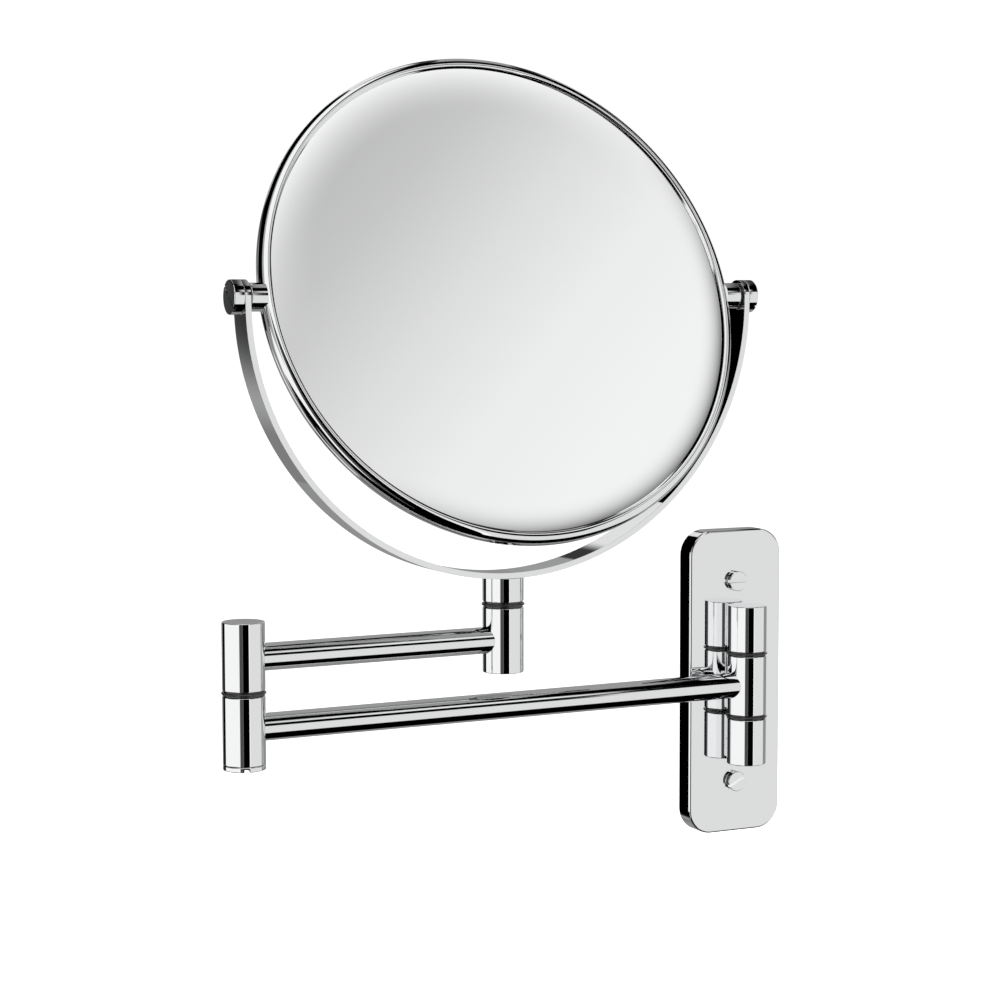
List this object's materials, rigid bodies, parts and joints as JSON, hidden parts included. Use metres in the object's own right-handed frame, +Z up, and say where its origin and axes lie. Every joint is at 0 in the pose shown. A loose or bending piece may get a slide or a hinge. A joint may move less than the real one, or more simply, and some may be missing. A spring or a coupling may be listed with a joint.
{
  "type": "extendable shaving mirror",
  "caption": "Wall-mounted shaving mirror: a round two-sided mirror tilting in a half-round yoke on a folding, swivelling two-tube arm with a rounded rectangular wall plate.",
  "frame": {"origin": "middle of the wall plate's back face, where it meets the wall", "axes": "+Y into the wall, -Y towards the user, +X to the right along the wall, +Z up"},
  "size_m": [0.2655, 0.0799, 0.3344],
  "materials": {
    "polished_chrome": "polished",
    "plain_steel": "turned",
    "dark_nylon": "satin",
    "silvered_glass": "polished",
    "grey_foam": "matte"
  },
  "bodies": {
    "wall_unit": {"wall_plate": "polished_chrome", "mounting_bracket": "plain_steel", "upper_plate_screw": "polished_chrome", "lower_plate_screw": "polished_chrome", "upper_wall_barrel": "polished_chrome", "lower_wall_barrel": "polished_chrome", "wall_hinge_pin": "plain_steel", "upper_wall_washer": "dark_nylon", "lower_wall_washer": "dark_nylon"},
    "lower_arm": {"wall_arm_barrel": "polished_chrome", "lower_arm_tube": "polished_chrome", "elbow_lower_barrel": "polished_chrome", "elbow_end_cap": "polished_chrome", "elbow_washer": "dark_nylon"},
    "upper_arm": {"elbow_upper_barrel": "polished_chrome", "elbow_pin": "plain_steel", "upper_arm_tube": "polished_chrome", "swivel_barrel": "polished_chrome", "swivel_washer": "dark_nylon"},
    "yoke": {"yoke_barrel": "polished_chrome", "swivel_pin": "plain_steel", "yoke_strip": "polished_chrome", "right_pivot_knob": "polished_chrome", "left_pivot_knob": "polished_chrome", "right_friction_washer": "dark_nylon", "left_friction_washer": "dark_nylon"},
    "mirror": {"front_bezel": "polished_chrome", "rear_bezel": "polished_chrome", "plain_glass": "silvered_glass", "magnifying_glass": "silvered_glass", "glass_spacer": "grey_foam", "right_pivot_boss": "polished_chrome", "left_pivot_boss": "polished_chrome"}
  },
  "joints": [
    {"name": "wall_swing", "type": "hinge", "parent": "wall_unit", "child": "lower_arm", "pos_m": [0, -0.0188, 0], "axis": [0, 0, 1], "range_deg": [-1.8, 178.2]},
    {"name": "elbow_swing", "type": "hinge", "parent": "lower_arm", "child": "upper_arm", "pos_m": [-0.23389, -0.02615, 0.0278], "axis": [0, 0, 1], "continuous": true},
    {"name": "yoke_swivel", "type": "hinge", "parent": "upper_arm", "child": "yoke", "pos_m": [-0.11954, -0.02256, 0.0425], "axis": [0, 0, 1], "continuous": true},
    {"name": "mirror_tilt", "type": "hinge", "parent": "yoke", "child": "mirror", "pos_m": [-0.11954, -0.02256, 0.1685], "axis": [1, 0, 0], "continuous": true}
  ]
}
